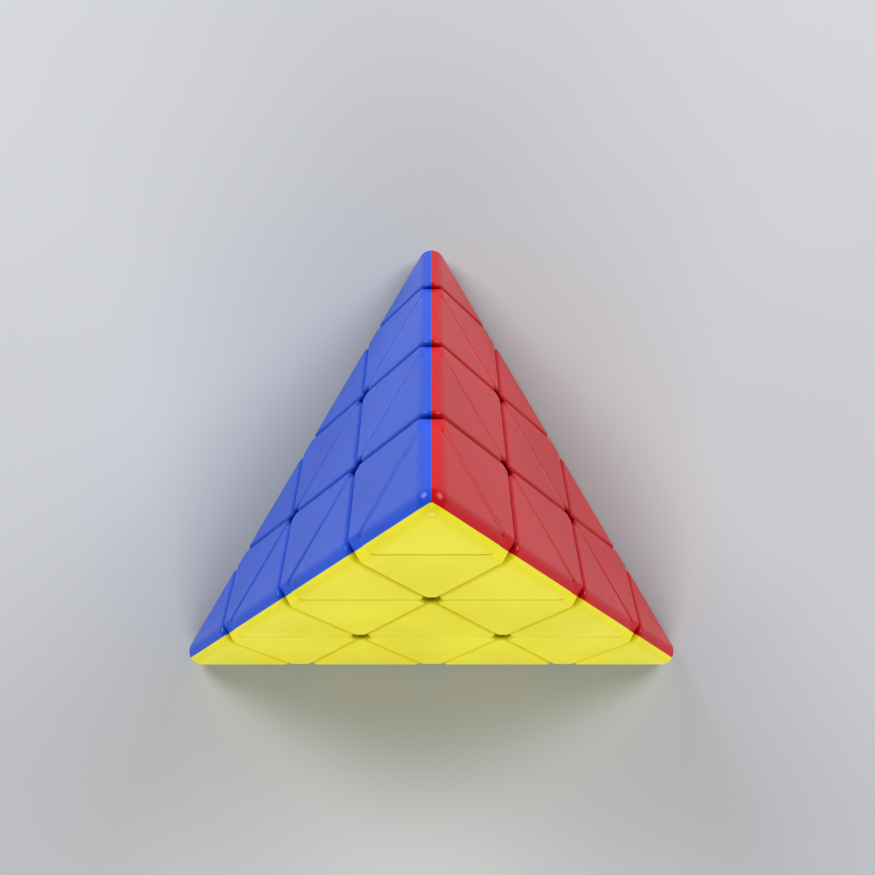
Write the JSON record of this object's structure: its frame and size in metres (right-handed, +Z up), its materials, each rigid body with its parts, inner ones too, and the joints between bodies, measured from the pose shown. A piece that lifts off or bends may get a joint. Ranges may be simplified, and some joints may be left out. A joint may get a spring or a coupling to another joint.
{
  "type": "pyramid twisty puzzle",
  "caption": "Pyramid-shaped twisty puzzle with rounded edges and four plain coloured faces, made of triangular pieces in four layers that turn about its corners.",
  "frame": {"origin": "middle of the green bottom face, which the puzzle rests on", "axes": "+Z up from the bottom face to the apex; -Y out through the yellow front face; +Y towards the rear corner; the blue face is on the left (-X) and the red face on the right (+X)"},
  "size_m": [0.1092, 0.0954, 0.0903],
  "materials": {
    "blue_shell": "satin-gloss blue ABS",
    "red_shell": "satin-gloss red ABS",
    "yellow_shell": "satin-gloss yellow ABS",
    "green_shell": "satin-gloss green ABS",
    "inner_plastic": "matte black low-friction plastic",
    "steel": "zinc-plated steel",
    "magnet": "nickel-plated ring magnet"
  },
  "bodies": {
    "base": {"core": "inner_plastic", "arm_screws": "steel", "tension_magnets": "magnet", "tension_cups": "steel", "lower_middle_feet": "inner_plastic", "bottom_centre": "green_shell", "bottom_centre_foot": "inner_plastic", "left_right_middle_edge": "yellow_shell", "right_rear_middle_edge": "green_shell", "rear_left_middle_edge": "blue_shell"},
    "upper_layers": {"upper_middle_feet": "inner_plastic", "upper_centre_feet": "inner_plastic", "left_centre": "blue_shell", "right_centre": "red_shell", "front_centre": "yellow_shell", "apex_left_middle_edge": "blue_shell", "apex_right_middle_edge": "yellow_shell", "apex_rear_middle_edge": "blue_shell"},
    "apex_cap": {"apex_corner": "red_shell", "apex_corner_stem": "inner_plastic", "apex_wing_feet": "inner_plastic", "apex_left_wing": "blue_shell", "apex_right_wing": "red_shell", "apex_rear_wing": "blue_shell"},
    "apex_tip_body": {"apex_tip": "blue_shell", "apex_tip_base": "inner_plastic", "apex_tip_magnet": "magnet"},
    "left_cap": {"left_corner": "yellow_shell", "left_corner_stem": "inner_plastic", "left_wing_feet": "inner_plastic", "left_right_wing": "green_shell", "left_rear_wing": "green_shell"},
    "left_tip_body": {"left_tip": "yellow_shell", "left_tip_base": "inner_plastic", "left_tip_magnet": "magnet"},
    "left_cap_upper_wing": {"left_apex_wing": "yellow_shell", "left_apex_wing_foot": "inner_plastic"},
    "right_cap": {"right_corner": "green_shell", "right_corner_stem": "inner_plastic", "right_wing_feet": "inner_plastic", "right_left_wing": "green_shell", "right_rear_wing": "green_shell"},
    "right_tip_body": {"right_tip": "red_shell", "right_tip_base": "inner_plastic", "right_tip_magnet": "magnet"},
    "right_cap_upper_wing": {"right_apex_wing": "red_shell", "right_apex_wing_foot": "inner_plastic"},
    "rear_cap": {"rear_corner": "blue_shell", "rear_corner_stem": "inner_plastic", "rear_wing_feet": "inner_plastic", "rear_left_wing": "blue_shell", "rear_right_wing": "red_shell"},
    "rear_tip_body": {"rear_tip": "green_shell", "rear_tip_base": "inner_plastic", "rear_tip_magnet": "magnet"},
    "rear_cap_upper_wing": {"rear_apex_wing": "red_shell", "rear_apex_wing_foot": "inner_plastic"}
  },
  "joints": [
    {"name": "deep_turn", "type": "hinge", "parent": "base", "child": "upper_layers", "pos_m": [0, 0, 0.02409], "axis": [0, 0, 1], "range_deg": [-120, 120]},
    {"name": "apex_cap_turn", "type": "hinge", "parent": "upper_layers", "child": "apex_cap", "pos_m": [0, 0, 0.02409], "axis": [0, 0, 1], "continuous": true},
    {"name": "apex_tip_turn", "type": "hinge", "parent": "apex_cap", "child": "apex_tip_body", "pos_m": [0, 0, 0.02409], "axis": [0, 0, 1], "continuous": true},
    {"name": "left_cap_turn", "type": "hinge", "parent": "base", "child": "left_cap", "pos_m": [0, 0, 0.02409], "axis": [-0.8165, -0.4714, -0.3333], "continuous": true},
    {"name": "left_tip_turn", "type": "hinge", "parent": "left_cap", "child": "left_tip_body", "pos_m": [0, 0, 0.02409], "axis": [-0.8165, -0.4714, -0.3333], "continuous": true},
    {"name": "left_upper_wing_turn", "type": "hinge", "parent": "upper_layers", "child": "left_cap_upper_wing", "pos_m": [0, 0, 0.02409], "axis": [-0.8165, -0.4714, -0.3333], "continuous": true},
    {"name": "right_cap_turn", "type": "hinge", "parent": "base", "child": "right_cap", "pos_m": [0, 0, 0.02409], "axis": [0.8165, -0.4714, -0.3333], "continuous": true},
    {"name": "right_tip_turn", "type": "hinge", "parent": "right_cap", "child": "right_tip_body", "pos_m": [0, 0, 0.02409], "axis": [0.8165, -0.4714, -0.3333], "continuous": true},
    {"name": "right_upper_wing_turn", "type": "hinge", "parent": "upper_layers", "child": "right_cap_upper_wing", "pos_m": [0, 0, 0.02409], "axis": [0.8165, -0.4714, -0.3333], "continuous": true},
    {"name": "rear_cap_turn", "type": "hinge", "parent": "base", "child": "rear_cap", "pos_m": [0, 0, 0.02409], "axis": [0, 0.9428, -0.3333], "continuous": true},
    {"name": "rear_tip_turn", "type": "hinge", "parent": "rear_cap", "child": "rear_tip_body", "pos_m": [0, 0, 0.02409], "axis": [0, 0.9428, -0.3333], "continuous": true},
    {"name": "rear_upper_wing_turn", "type": "hinge", "parent": "upper_layers", "child": "rear_cap_upper_wing", "pos_m": [0, 0, 0.02409], "axis": [0, 0.9428, -0.3333], "continuous": true}
  ],
  "couplings": [
    {"joint": "left_upper_wing_turn", "follows": "left_cap_turn", "ratio": 1},
    {"joint": "right_upper_wing_turn", "follows": "right_cap_turn", "ratio": 1},
    {"joint": "rear_upper_wing_turn", "follows": "rear_cap_turn", "ratio": 1}
  ]
}
